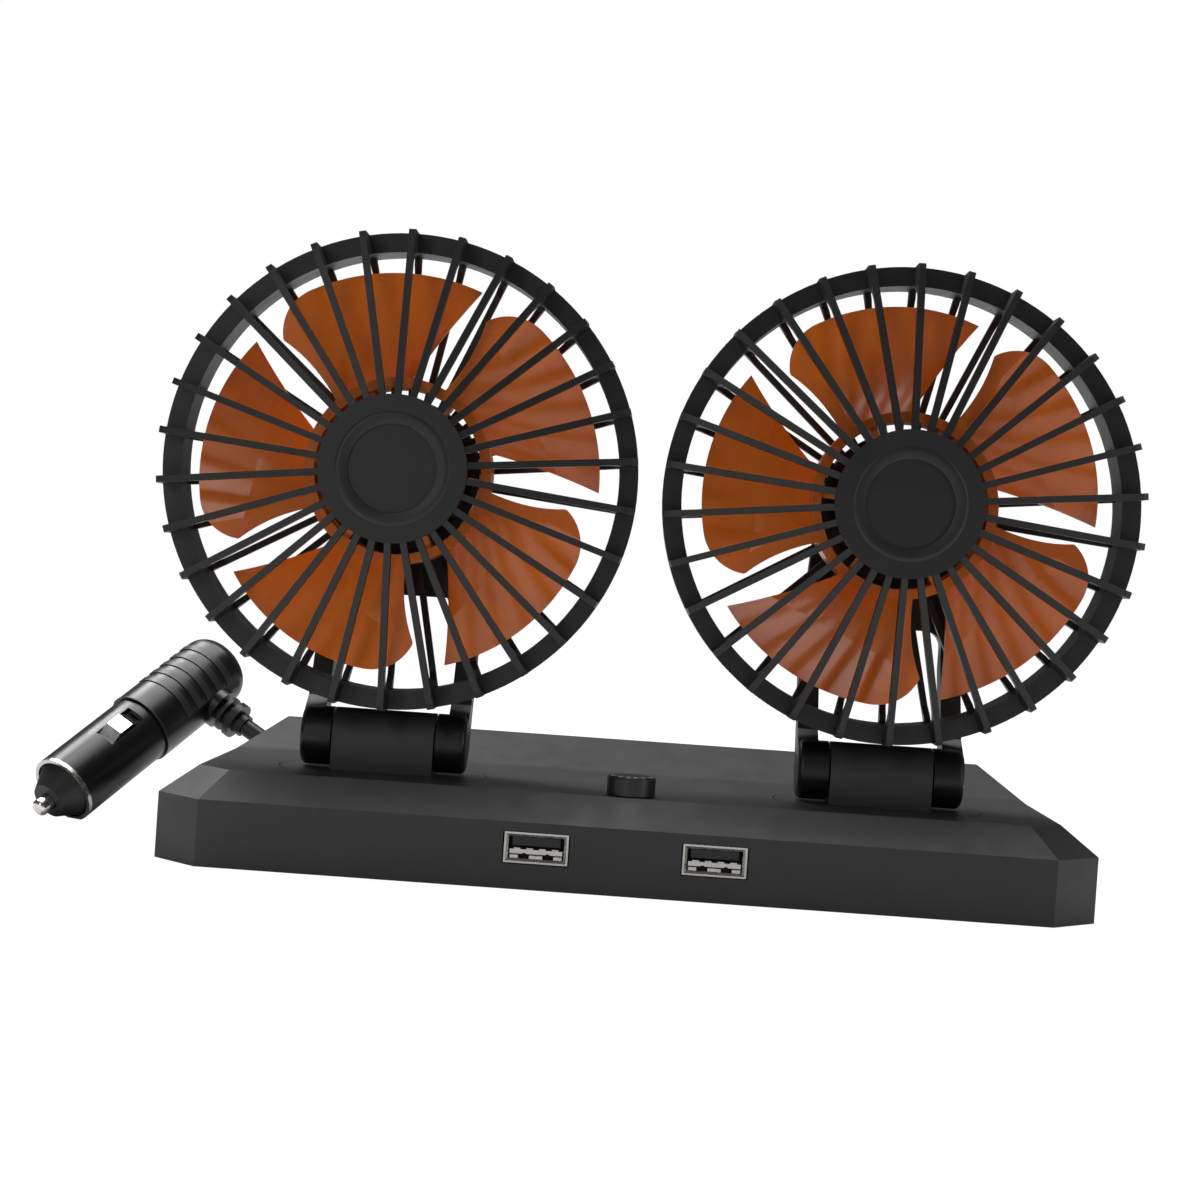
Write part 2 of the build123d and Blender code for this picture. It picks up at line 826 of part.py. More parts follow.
gland_mouth = half_depth + gland_length
lead_points = [
    (gland_x, gland_mouth, gland_z),
    (gland_x, gland_mouth + 11, gland_z),
    (gland_x, gland_mouth + 23, high_layer),
    (gland_x, coil_y, high_layer),
]
lead_radii = corner_radii(lead_points)
with BuildLine() as lead_line:
    FilletPolyline(*lead_points, radius=lead_radii)
lead_tube = tube(lead_line.wire())
report("lead", lead_line.wire(), lead_tube, lead_radii)
save(lead_tube, "cord_lead")

loose_end = (coil_x + coil_pitch / 2, coil_y - coil_outer + coil_pitch / 2, low_layer)
first_bend = cord_end + outlet_way * first_run
run_points = [
    tuple(cord_end),
    tuple(first_bend),
    (-76.0, 56.5, 9.5),
    (-56.5, 57.0, low_layer),
    (loose_end[0] - 19.6, loose_end[1], low_layer),
    loose_end,
]
run_radii = corner_radii(run_points)
with BuildLine() as run_line:
    FilletPolyline(*run_points, radius=run_radii)
run_tube = tube(run_line.wire())
report("run", run_line.wire(), run_tube, run_radii)
save(run_tube, "cord_run")


def half_turn(start, radius, far, height):
    way = 1 if far else -1
    middle = (start + way * radius, coil_y + way * radius, height)
    finish = (start + 2 * way * radius, coil_y, height)
    return ThreePointArc((start, coil_y, height), middle, finish)


winding = [coil_outer - step * coil_pitch / 2 for step in range(7)]
climb_radius = coil_outer - 7 * coil_pitch / 2
with BuildLine() as coil_line:
    place = gland_x
    for step, radius in enumerate(winding):
        turn = half_turn(place, radius, step % 2 == 0, high_layer)
        place = (turn @ 1).X
    reach = climb_radius / math.cos(math.pi / 8)
    centre = place - climb_radius
    climb_points = [(place, coil_y, high_layer)]
    for step in range(4):
        angle = -math.pi / 8 - step * math.pi / 4
        climb_points.append(
            (
                centre + reach * math.cos(angle),
                coil_y + reach * math.sin(angle),
                high_layer - (high_layer - low_layer) * step / 3,
            )
        )
    climb_points.append((centre - climb_radius, coil_y, low_layer))
    climb_radii = [0.98 * radius for radius in [climb_radius] * 4]
    FilletPolyline(*climb_points, radius=climb_radii)
    place = centre - climb_radius
    for step, radius in enumerate(reversed(winding)):
        if step < 5:
            turn = half_turn(place, radius, step % 2 == 0, low_layer)
            place = (turn @ 1).X
    ThreePointArc(
        (place, coil_y, low_layer),
        (
            loose_end[0] + winding[1] * math.sqrt(0.5),
            coil_y - winding[1] * math.sqrt(0.5),
            low_layer,
        ),
        loose_end,
    )
coil_wire = coil_line.wire()
coil_tube = tube(coil_wire)
report("coil", coil_wire, coil_tube, winding)
samples = [coil_wire @ (number / 900) for number in range(901)]
spacing = coil_wire.length / 900
skip = int(4 * cord_radius / spacing) + 1
nearest = min(
    (samples[one] - samples[other]).length
    for one in range(len(samples))
    for other in range(one + skip, len(samples))
)
print("coil least gap", round(nearest - 2 * cord_radius, 2))
save(coil_tube, "cord_coil")

# Plug: local Z runs from the pin back to the elbow, local X points along the outlet.
plug_plane = Plane(origin=plug_point, x_dir=outlet_way, z_dir=plug_way)
contact_plane = Plane(origin=plug_point, x_dir=plug_way, z_dir=outlet_way)
outlet_plane = Plane(
    origin=plug_start + plug_way * outlet_at,
    x_dir=plug_way,
    z_dir=outlet_way,
)

with BuildPart() as plug_nose:
    with BuildSketch(plug_plane.offset(-nose_length)):
        Circle(nose_small_radius)
    with BuildSketch(plug_plane):
        Circle(nose_large_radius)
    loft()
    with BuildSketch(plug_plane):
        Circle(barrel_radius_plug - barrel_wall - tip_fit)
    extrude(amount=fuse_start - 1)
    with BuildSketch(plug_plane.offset(-nose_length - 1)):
        Circle(tip_radius + tip_fit)
    extrude(amount=nose_length + fuse_start + 1, mode=Mode.SUBTRACT)
    with BuildSketch(plug_plane.offset(-tip_head_front)):
        Circle(tip_head_radius + 2 * tip_fit)
    extrude(amount=tip_head_front + fuse_start, mode=Mode.SUBTRACT)
save(plug_nose.part, "plug_nose")

with BuildPart() as plug_rim:
    with BuildSketch(plug_plane):
        Circle(barrel_radius_plug)
        Circle(nose_large_radius + tip_fit, mode=Mode.SUBTRACT)
    extrude(amount=-rim_thickness)
save(plug_rim.part, "plug_rim")

with BuildPart() as center_pin:
    with BuildSketch(plug_plane.offset(-tip_length)):
        Circle(tip_radius)
    extrude(amount=tip_length + tip_head_back)
    fillet(center_pin.faces().sort_by(Axis.Z)[0].edges(), 1.1)
    with BuildSketch(plug_plane.offset(-tip_head_front + cover_gap)):
        Circle(tip_head_radius)
    extrude(amount=tip_head_front + tip_head_back - cover_gap)
save(center_pin.part, "center_pin")

spring_height = fuse_start - tip_head_back - 2 * spring_wire - 2 * tip_fit
spring_plane = plug_plane.offset(tip_head_back + spring_wire + tip_fit)
with BuildPart() as pin_spring:
    with BuildLine():
        helix = Helix(pitch=spring_height / spring_turns, height=spring_height, radius=spring_radius)
    with BuildSketch(Plane(origin=helix @ 0, z_dir=helix % 0)):
        Circle(spring_wire)
    sweep(path=helix, is_frenet=True)
save(pin_spring.part.moved(spring_plane.location), "pin_spring")

with BuildPart() as plug_fuse:
    with BuildSketch(plug_plane.offset(fuse_start)):
        Circle(fuse_radius)
    extrude(amount=fuse_end - fuse_start)
save(plug_fuse.part, "plug_fuse")

with BuildPart() as plug_body:
    with BuildSketch(plug_plane):
        Circle(barrel_radius_plug)
        Circle(barrel_radius_plug - barrel_wall, mode=Mode.SUBTRACT)
    extrude(amount=barrel_length)
    with BuildSketch(plug_plane.offset(fuse_start + 1)):
        Circle(barrel_radius_plug - barrel_wall / 2)
        Circle(fuse_radius + tip_fit, mode=Mode.SUBTRACT)
    extrude(amount=2)
    with BuildSketch(plug_plane.offset(window_start)):
        Rectangle(window_width, 3 * barrel_radius_plug)
        Rectangle(window_width, 2 * fuse_radius + 3, mode=Mode.SUBTRACT)
    extrude(amount=window_end - window_start, mode=Mode.SUBTRACT)
save(plug_body.part, "plug_body")

barrel_bore = barrel_radius_plug - barrel_wall
contact_reach = barrel_radius_plug + contact_rise
with BuildPart() as side_contacts:
    with BuildSketch(contact_plane):
        for side in (-1, 1):
            with BuildLine():
                outer_line = Polyline(
                    (window_start + 0.4, side * barrel_bore),
                    (window_start + 3.4, side * contact_reach),
                    (window_end - 4.2, side * contact_reach),
                    (window_end - 1.2, side * barrel_bore),
                    (window_end + 1.4, side * (barrel_bore - contact_tuck)),
                    (window_end + 1.4, side * (barrel_bore - contact_tuck - contact_thickness)),
                    (window_end - 1.6, side * (barrel_bore - contact_thickness)),
                    (window_end - 4.5, side * (contact_reach - contact_thickness)),
                    (window_start + 3.7, side * (contact_reach - contact_thickness)),
                    (window_start + 0.9, side * (barrel_bore - contact_thickness)),
                    close=True,
                )
            make_face()
    extrude(amount=contact_half_width, both=True)
save(side_contacts.part, "side_contacts")

with BuildPart() as plug_handle:
    with BuildSketch(plug_plane.offset(barrel_length)):
        Circle(handle_radius)
    extrude(amount=handle_end - barrel_length)
    far_edges = plug_handle.edges().filter_by(GeomType.CIRCLE)
    tail = far_edges.sort_by(lambda edge: (edge.arc_center - plug_start).dot(plug_way))[-1]
    fillet(tail, handle_round)
    with BuildSketch(outlet_plane):
        Circle(outlet_radius)
    extrude(amount=outlet_radius + outlet_length - 8)
    with BuildSketch(plug_plane.offset(barrel_length)):
        Circle(handle_radius - handle_wall)
    extrude(amount=handle_end - barrel_length - handle_wall - handle_round, mode=Mode.SUBTRACT)
save(plug_handle.part, "plug_handle")

with BuildPart() as plug_relief:
    with BuildSketch(outlet_plane.offset(outlet_radius + outlet_length - 8)):
        Circle(3.0)
    extrude(amount=8)
    with BuildSketch(outlet_plane.offset(outlet_radius + outlet_length - 6.6)):
        Circle(4.8)
    extrude(amount=0.9)
    with BuildSketch(outlet_plane.offset(outlet_radius + outlet_length - 4.2)):
        Circle(4.9)
    extrude(amount=1.9)
save(plug_relief.part, "plug_relief")
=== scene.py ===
import bpy
import bmesh
import math
from mathutils import Matrix, Vector


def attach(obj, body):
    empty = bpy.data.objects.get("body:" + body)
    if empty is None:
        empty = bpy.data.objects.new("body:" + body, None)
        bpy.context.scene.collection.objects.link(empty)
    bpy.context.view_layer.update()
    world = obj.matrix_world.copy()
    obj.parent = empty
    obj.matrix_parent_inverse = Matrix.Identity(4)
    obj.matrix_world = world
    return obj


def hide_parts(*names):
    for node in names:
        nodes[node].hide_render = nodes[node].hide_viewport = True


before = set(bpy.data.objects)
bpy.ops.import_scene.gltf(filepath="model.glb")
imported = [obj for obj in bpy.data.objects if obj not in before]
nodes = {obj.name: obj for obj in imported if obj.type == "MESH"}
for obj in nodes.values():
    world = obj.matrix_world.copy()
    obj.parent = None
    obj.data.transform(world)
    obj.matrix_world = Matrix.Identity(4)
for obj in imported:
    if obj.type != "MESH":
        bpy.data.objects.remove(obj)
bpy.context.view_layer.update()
sides = {"left": -0.0579, "right": 0.0579}
fanDepth = -0.0134
fanHeight = 0.0914
print("frame loaded,", len(nodes), "nodes")

# materials

plasticLooks = {
    "housing": dict(colour=(0.029, 0.029, 0.0294), rough=0.46, grain=2600, bump=0.10, mottle=0.10, gloss=0.5),
    "underside": dict(colour=(0.035, 0.035, 0.036), rough=0.62, grain=1800, bump=0.14, mottle=0.16,
                      gloss=0.4),
    "guard": dict(colour=(0.011, 0.0114, 0.0120), rough=0.42, grain=3200, bump=0.06, mottle=0.12, gloss=0.5),
    "hinge": dict(colour=(0.004, 0.004, 0.0042), rough=0.40, grain=3600, bump=0.04, mottle=0.10, gloss=0.5),
    "knob": dict(colour=(0.013, 0.013, 0.0135), rough=0.38, grain=3000, bump=0.05, mottle=0.10, gloss=0.5),
    "plug": dict(colour=(0.004, 0.004, 0.0042), rough=0.31, grain=2800, bump=0.05, mottle=0.14, gloss=0.5),
    "plugNose": dict(colour=(0.012, 0.012, 0.0125), rough=0.48, grain=2400, bump=0.09, mottle=0.12,
                     gloss=0.45),
    "cordSheath": dict(colour=(0.010, 0.010, 0.0105), rough=0.44, grain=2400, bump=0.08, mottle=0.16,
                       gloss=0.5),
    "pad": dict(colour=(0.020, 0.020, 0.020), rough=0.85, grain=1500, bump=0.30, mottle=0.22, gloss=0.2),
    "socketTongue": dict(colour=(0.016, 0.016, 0.017), rough=0.40, grain=3000, bump=0.05, mottle=0.10,
                         gloss=0.5),
    "component": dict(colour=(0.030, 0.030, 0.033), rough=0.50, grain=2200, bump=0.08, mottle=0.20,
                      gloss=0.5),
    "boardMask": dict(colour=(0.010, 0.075, 0.030), rough=0.36, grain=1600, bump=0.07, mottle=0.35,
                      gloss=0.6),
    # near-black painted shade for the holes in the USB sockets
    "darkRecess": dict(colour=(0.004, 0.004, 0.004), rough=0.7, grain=1500, bump=0.05, mottle=0.1, gloss=0.2),
    "gripRib": dict(colour=(0.030, 0.030, 0.031), rough=0.38, grain=2600, bump=0.06, mottle=0.12, gloss=0.5),
    # pale grey painted highlight for the glints on the knob's knurled rim
    "knobMark": dict(colour=(0.30, 0.30, 0.30), rough=0.55, grain=1800, bump=0.04, mottle=0.12, gloss=0.4),
}
metalLooks = {
    "nickelPlate": dict(colour=(0.62, 0.60, 0.57), rough=0.24, brush=0.10, stretch=(900, 120, 900)),
    "pinNickel": dict(colour=(0.80, 0.79, 0.77), rough=0.16, brush=0.06, stretch=(700, 700, 160)),
    "contactPlate": dict(colour=(0.88, 0.85, 0.83), rough=0.22, brush=0.05, stretch=(500, 500, 120)),
    "screwSteel": dict(colour=(0.42, 0.42, 0.43), rough=0.34, brush=0.18, stretch=(1200, 1200, 200)),
    "motorCan": dict(colour=(0.50, 0.50, 0.51), rough=0.30, brush=0.12, stretch=(200, 900, 200)),
}
plasticGrain = dict(cloud=38, cloudDetail=4, wear=160, wearDetail=5, smoother=0.04, rougher=0.05,
                    depth=0.0002)
metalGrain = dict(detail=4, darken=0.86, smoother=0.05, rougher=0.07, depth=0.0001)
noiseSpan = (0.3, 0.7)


def link(tree, fromNode, output, toNode, socket):
    tree.links.new(fromNode.outputs[output], toNode.inputs[socket])


def newMaterial(name):
    material = bpy.data.materials.new(name)
    material.use_nodes = True
    tree = material.node_tree
    shader = tree.nodes["Principled BSDF"]
    place = tree.nodes.new("ShaderNodeTexCoord")
    return material, tree, shader, place


def noiseOf(tree, place, scale, detail=3.0, stretch=None):
    noise = tree.nodes.new("ShaderNodeTexNoise")
    noise.inputs["Scale"].default_value = scale
    noise.inputs["Detail"].default_value = detail
    if stretch:
        mapping = tree.nodes.new("ShaderNodeMapping")
        mapping.inputs["Scale"].default_value = stretch
        link(tree, place, "Object", mapping, "Vector")
        link(tree, mapping, "Vector", noise, "Vector")
    else:
        link(tree, place, "Object", noise, "Vector")
    return noise


def spread(tree, source, low, high, output="Fac"):
    remap = tree.nodes.new("ShaderNodeMapRange")
    remap.inputs["From Min"].default_value = noiseSpan[0]
    remap.inputs["From Max"].default_value = noiseSpan[1]
    remap.inputs["To Min"].default_value = low
    remap.inputs["To Max"].default_value = high
    link(tree, source, output, remap, "Value")
    return remap


def tint(tree, factor, dark, light, output="Result"):
    mix = tree.nodes.new("ShaderNodeMix")
    mix.data_type = "RGBA"
    mix.inputs["A"].default_value = (*dark, 1)
    mix.inputs["B"].default_value = (*light, 1)
    tree.links.new(factor.outputs[output], mix.inputs["Factor"])
    return mix


def mouldedPlastic(name, look):
    material, tree, shader, place = newMaterial(name)
    grain = plasticGrain
    cloud = spread(tree, noiseOf(tree, place, grain["cloud"], grain["cloudDetail"]), 0, 1)
    dark = [c * (1 - look["mottle"]) for c in look["colour"]]
    light = [c * (1 + look["mottle"]) for c in look["colour"]]
    colour = tint(tree, cloud, dark, light)
    tree.links.new(colour.outputs["Result"], shader.inputs["Base Color"])
    wear = spread(tree, noiseOf(tree, place, grain["wear"], grain["wearDetail"]),
                  look["rough"] - grain["smoother"], look["rough"] + grain["rougher"])
    link(tree, wear, "Result", shader, "Roughness")
    shader.inputs["Specular IOR Level"].default_value = look["gloss"]
    bump = tree.nodes.new("ShaderNodeBump")
    bump.inputs["Strength"].default_value = look["bump"]
    bump.inputs["Distance"].default_value = grain["depth"]
    link(tree, noiseOf(tree, place, look["grain"], 2), "Fac", bump, "Height")
    link(tree, bump, "Normal", shader, "Normal")
    return material


def platedMetal(name, look):
    material, tree, shader, place = newMaterial(name)
    shader.inputs["Metallic"].default_value = 1.0
    grain = metalGrain
    streak = noiseOf(tree, place, 1.0, grain["detail"], look["stretch"])
    cloud = spread(tree, streak, 0, 1)
    dark = [c * grain["darken"] for c in look["colour"]]
    colour = tint(tree, cloud, dark, look["colour"])
    tree.links.new(colour.outputs["Result"], shader.inputs["Base Color"])
    rough = spread(tree, streak, look["rough"] - grain["smoother"], look["rough"] + grain["rougher"])
    link(tree, rough, "Result", shader, "Roughness")
    bump = tree.nodes.new("ShaderNodeBump")
    bump.inputs["Strength"].default_value = look["brush"]
    bump.inputs["Distance"].default_value = grain["depth"]
    link(tree, streak, "Fac", bump, "Height")
    link(tree, bump, "Normal", shader, "Normal")
    return material


# the hub colour is a painted highlight: the impeller is one plastic, and its hub band is painted lighter
# orange where light falls on it
bladeLook = dict(deep=(0.66, 0.125, 0.006), bright=(0.98, 0.215, 0.012), hub=(0.98, 0.290, 0.060),
                 hubReach=0.0182, rough=0.26, smoother=0.04, rougher=0.06, coat=0.35, coatRough=0.12,
                 cloud=26, wear=90, ripple=240, bump=0.05, depth=0.0004, glow=0.05,
                 glowReach=(0.002, 0.001, 0.0006))
fuseLook = dict(colour=(0.85, 0.88, 0.90), clear=0.9, wear=300, smooth=0.04, rough=0.12)


def arithmetic(tree, operation, first, second=None):
    step = tree.nodes.new("ShaderNodeMath")
    step.operation = operation
    for slot, source in enumerate((first, second)):
        if isinstance(source, (int, float)):
            step.inputs[slot].default_value = source
        elif source is not None:
            tree.links.new(source, step.inputs[slot])
    return step


# mask for the painted hub highlight: points within reach of the fan axis
def hubHighlightMask(tree, place, reach):
    parts = tree.nodes.new("ShaderNodeSeparateXYZ")
    link(tree, place, "Object", parts, "Vector")
    across = arithmetic(tree, "ABSOLUTE", parts.outputs["X"])
    across = arithmetic(tree, "SUBTRACT", across.outputs["Value"], sides["right"])
    across = arithmetic(tree, "POWER", across.outputs["Value"], 2.0)
    above = arithmetic(tree, "SUBTRACT", parts.outputs["Z"], fanHeight)
    above = arithmetic(tree, "POWER", above.outputs["Value"], 2.0)
    total = arithmetic(tree, "ADD", across.outputs["Value"], above.outputs["Value"])
    return arithmetic(tree, "LESS_THAN", total.outputs["Value"], reach**2)


def bladePlastic(name, look):
    material, tree, shader, place = newMaterial(name)
    cloud = spread(tree, noiseOf(tree, place, look["cloud"], 3), 0, 1)
    vane = tint(tree, cloud, look["deep"], look["bright"])
    # blade colour, swapped for the painted hub highlight inside the mask
    colour = tree.nodes.new("ShaderNodeMix")
    colour.data_type = "RGBA"
    link(tree, hubHighlightMask(tree, place, look["hubReach"]), "Value", colour, "Factor")
    tree.links.new(vane.outputs["Result"], colour.inputs["A"])
    colour.inputs["B"].default_value = (*look["hub"], 1)
    tree.links.new(colour.outputs["Result"], shader.inputs["Base Color"])
    rough = spread(tree, noiseOf(tree, place, look["wear"], 4),
                   look["rough"] - look["smoother"], look["rough"] + look["rougher"])
    link(tree, rough, "Result", shader, "Roughness")
    shader.inputs["Coat Weight"].default_value = look["coat"]
    shader.inputs["Coat Roughness"].default_value = look["coatRough"]
    shader.inputs["Subsurface Weight"].default_value = look["glow"]
    shader.inputs["Subsurface Radius"].default_value = look["glowReach"]
    bump = tree.nodes.new("ShaderNodeBump")
    bump.inputs["Strength"].default_value = look["bump"]
    bump.inputs["Distance"].default_value = look["depth"]
    link(tree, noiseOf(tree, place, look["ripple"], 3), "Fac", bump, "Height")
    link(tree, bump, "Normal", shader, "Normal")
    return material


def fuseGlass(name, look):
    material, tree, shader, place = newMaterial(name)
    shader.inputs["Base Color"].default_value = (*look["colour"], 1)
    shader.inputs["Transmission Weight"].default_value = look["clear"]
    rough = spread(tree, noiseOf(tree, place, look["wear"], 3), look["smooth"], look["rough"])
    link(tree, rough, "Result", shader, "Roughness")
    return material


finishes = {name: mouldedPlastic(name, look) for name, look in plasticLooks.items()}
finishes.update({name: platedMetal(name, look) for name, look in metalLooks.items()})
finishes["blade"] = bladePlastic("blade", bladeLook)
finishes["fuseGlass"] = fuseGlass("fuseGlass", fuseLook)
print("finishes made:", len(finishes))

nodeFinishes = {
    "base_shell": "housing", "turntable": "housing", "bottom_cover": "underside",
    "retainer_ring": "underside", "anti_slip_pads": "pad", "cover_screws": "screwSteel",
    "retainer_screws": "screwSteel", "board_screws": "screwSteel", "yoke_screws": "screwSteel",
    "hinge_pin": "screwSteel", "yoke": "hinge", "front_grille": "guard", "rear_grille": "guard",
    "motor": "motorCan", "motor_shaft": "screwSteel", "impeller": "blade", "speed_knob": "knob",
    "knob_stem": "screwSteel", "speed_control": "component", "circuit_board": "boardMask",
    "board_parts": "component", "usb_shell": "nickelPlate", "usb_tongue": "socketTongue",
    "cord_gland": "cordSheath", "plug_nose": "plugNose", "plug_rim": "nickelPlate",
    "center_pin": "pinNickel", "pin_spring": "screwSteel", "plug_fuse": "fuseGlass",
    "plug_body": "plug", "side_contacts": "contactPlate", "plug_handle": "plug",
    "plug_relief": "cordSheath",
}
for name, piece in nodes.items():
    finish = nodeFinishes.get(name.replace("_left", "").replace("_right", ""))
    if finish:
        piece.data.materials.clear()
        piece.data.materials.append(finishes[finish])
print("frame nodes finished")

# small pieces, each built in the shared frame

usbFacts = dict(
    middle=0.01975, front=-0.0453, edge=0.00008,
    band=dict(depth=0.0007, height=0.0088, size=(0.0117, 0.0004, 0.0011)),
    crest=dict(count=4, gap=0.0028, depth=0.0007, height=0.00945, size=(0.0015, 0.0004, 0.0004)),
    leaf=dict(spots=((-0.00485, 0.0019), (0, 0.0030), (0.00485, 0.0019)), depth=0.0006, height=0.00765,
              thick=0.0003, tall=0.00085),
    hole=dict(spots=(-0.0026, 0.0026), depth=0.0005, height=0.0078, radius=0.00072, thick=0.0003, sides=28),
)
plugFacts = dict(origin=(-0.1416, 0.0246, 0.00795), axis=(0.490, 0.700, 0.520),
                 outlet=(0.843, -0.228, -0.487))
knobFacts = dict(middle=(0.0003, -0.0326), top=0.0261, marks=6, gap=0.00165, reach=0.0046,
                 size=(0.00105, 0.0011, 0.0003), edge=0.00008)
lipFacts = dict(front=-0.0392, steps=96, slope=((0.0130, -0.0001), (0.0127, 0.00010), (0.0123, 0.00022),
                                                (0.0118, 0.00022), (0.0112, 0.00014), (0.0106, 0.00005),
                                                (0.0100, -0.0001)))
ribFacts = dict(first=0.0362, gap=0.0040, count=5, wide=0.0021, radius=0.00955, rise=0.00030, sink=0.0004,
                arc=118, steps=28)
seamFacts = dict(start=0.0279, end=0.0283, radius=0.00960, rise=0.00012, sink=0.0003, arc=150, steps=36)


def addBox(build, middle, size, edge):
    made = bmesh.ops.create_cube(build, size=1.0)["verts"]
    bmesh.ops.scale(build, vec=size, verts=made)
    lines = list({line for vert in made for line in vert.link_edges})
    made = bmesh.ops.bevel(build, geom=lines, offset=edge, segments=2, profile=0.5,
                           affect="EDGES", material=-1)["verts"]
    made = list({vert for face in build.faces if any(v in made for v in face.verts) for vert in face.verts})
    bmesh.ops.translate(build, vec=middle, verts=made)


def newPiece(name, build, finish, body):
    bmesh.ops.recalc_face_normals(build, faces=build.faces)
    mesh = bpy.data.meshes.new(name)
    build.to_mesh(mesh)
    build.free()
    mesh.materials.append(finishes[finish])
    piece = bpy.data.objects.new(name, mesh)
    bpy.context.scene.collection.objects.link(piece)
    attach(piece, body)
    return piece


# pale grey blocks along the near rim of the knob top: painted highlights on the knurl lobes
def knobMarks(facts):
    build = bmesh.new()
    for step in range(facts["marks"]):
        across = (step - (facts["marks"] - 1) / 2) * facts["gap"]
        away = -math.sqrt(facts["reach"] ** 2 - across**2)
        middle = (facts["middle"][0] + across, facts["middle"][1] + away, facts["top"])
        addBox(build, middle, facts["size"], facts["edge"])
    return newPiece("knobMarks", build, "knobMark", "knob")


def socketSpot(side, across, part):
    middle = math.copysign(usbFacts["middle"], sides[side])
    return (middle + across, usbFacts["front"] + part["depth"], part["height"])


def socketLiner(side, facts):
    band, crest = facts["band"], facts["crest"]
    build = bmesh.new()
    addBox(build, socketSpot(side, 0, band), band["size"], facts["edge"])
    for step in range(crest["count"]):
        across = (step - (crest["count"] - 1) / 2) * crest["gap"]
        addBox(build, socketSpot(side, across, crest), crest["size"], facts["edge"])
    return newPiece(f"socket_liner_{side}", build, "nickelPlate", "base")


def socketLeaves(side, facts):
    leaf = facts["leaf"]
    build = bmesh.new()
    for across, wide in leaf["spots"]:
        addBox(build, socketSpot(side, across, leaf), (wide, leaf["thick"], leaf["tall"]), facts["edge"])
    return newPiece(f"socket_leaves_{side}", build, "nickelPlate", "base")


# near-black discs on the socket front: painted shade standing in for the holes
def socketHoleShade(side, facts):
    hole = facts["hole"]
    build = bmesh.new()
    for across in hole["spots"]:
        made = bmesh.ops.create_cone(build, cap_ends=True, segments=hole["sides"], radius1=hole["radius"],
                                     radius2=hole["radius"], depth=hole["thick"])["verts"]
        place = Matrix.Translation(socketSpot(side, across, hole)) @ Matrix.Rotation(math.pi / 2, 4, "X")
        bmesh.ops.transform(build, matrix=place, verts=made)
    return newPiece(f"socket_hole_shade_{side}", build, "darkRecess", "base")


def plugTurn(facts):
    along = Vector(facts["axis"]).normalized()
    side = along.cross(Vector(facts["outlet"])).normalized()
    outlet = side.cross(along)
    turn = Matrix((outlet, side, along)).transposed().to_4x4()
    return Matrix.Translation(facts["origin"]) @ turn


# a flat block swept part way round the plug, on the side towards the camera
def aroundPlug(build, start, end, facts):
    low, high = facts["radius"] - facts["sink"], facts["radius"] + facts["rise"]
    corners = [build.verts.new((radius, 0, height)) for radius, height in
               ((low, start), (high, start), (high, end), (low, end))]
    face = build.faces.new(corners)
    turn = math.radians(-90 - facts["arc"] / 2)
    bmesh.ops.transform(build, matrix=Matrix.Rotation(turn, 4, "Z"), verts=corners)
    bmesh.ops.spin(build, geom=[face], cent=(0, 0, 0), axis=(0, 0, 1), angle=math.radians(facts["arc"]),
                   steps=facts["steps"], use_duplicate=False)


def gripRibs(facts):
    build = bmesh.new()
    for step in range(facts["count"]):
        start = facts["first"] + step * facts["gap"]
        aroundPlug(build, start, start + facts["wide"], facts)
    bmesh.ops.transform(build, matrix=plugTurn(plugFacts), verts=build.verts)
    return newPiece("plug_grip_ribs", build, "gripRib", "base")


def seamBand(facts):
    build = bmesh.new()
    aroundPlug(build, facts["start"], facts["end"], facts)
    bmesh.ops.transform(build, matrix=plugTurn(plugFacts), verts=build.verts)
    return newPiece("plug_seam_band", build, "gripRib", "base")


def discLip(side, facts):
    build = bmesh.new()
    profile = [build.verts.new((radius, facts["front"] - rise, 0)) for radius, rise in facts["slope"]]
    lines = [build.edges.new(pair) for pair in zip(profile, profile[1:])]
    bmesh.ops.spin(build, geom=profile + lines, cent=(0, 0, 0), axis=(0, 1, 0), angle=math.tau,
                   steps=facts["steps"], use_merge=True, use_duplicate=False)
    for face in build.faces:
        face.smooth = True
    bmesh.ops.translate(build, vec=(sides[side], 0, fanHeight), verts=build.verts)
    return newPiece(f"disc_lip_{side}", build, "guard", f"head_{side}")


knobMarks(knobFacts)
for side in sides:
    discLip(side, lipFacts)
    socketLiner(side, usbFacts)
    socketLeaves(side, usbFacts)
    socketHoleShade(side, usbFacts)
plugTrim = [gripRibs(ribFacts), seamBand(seamFacts)]
print("knob marks, sockets and plug trim placed")

# camera, fitted to the photograph

cameraFacts = dict(spot=(-0.002015, -0.551776, 0.072271), yaw=-0.843, pitch=-0.775, roll=3.969, lens=69.0,
                   sensor=36, near=0.01)


def placeCamera(facts):
    yaw, pitch, roll = (math.radians(facts[key]) for key in ("yaw", "pitch", "roll"))
    ahead = Vector((math.sin(yaw) * math.cos(pitch), math.cos(yaw) * math.cos(pitch), math.sin(pitch)))
    level = Vector((math.cos(yaw), -math.sin(yaw), 0))
    over = level.cross(ahead)
    right = level * math.cos(roll) + over * math.sin(roll)
    top = over * math.cos(roll) - level * math.sin(roll)
    turn = Matrix((right, top, -ahead)).transposed().to_4x4()
    data = bpy.data.cameras.new("photoCamera")
    data.lens = facts["lens"]
    data.sensor_width = facts["sensor"]
    data.clip_start = facts["near"]
    camera = bpy.data.objects.new("photoCamera", data)
    bpy.context.scene.collection.objects.link(camera)
    camera.matrix_world = Matrix.Translation(facts["spot"]) @ turn
    bpy.context.scene.camera = camera


placeCamera(cameraFacts)

# lead: one smooth line from the gland through the coil to the plug, in metres

cordFacts = dict(radius=0.0023, glandX=-0.050, mouthY=0.055, glandZ=0.0082, coilY=0.091,
                 outer=0.03405, pitch=0.0051, lowZ=0.00235, highZ=0.00745, turnPoints=6,
                 upperTurns=7, lowerTurns=5, climbFrom=0.12, climbShare=0.76, around=6, along=8)


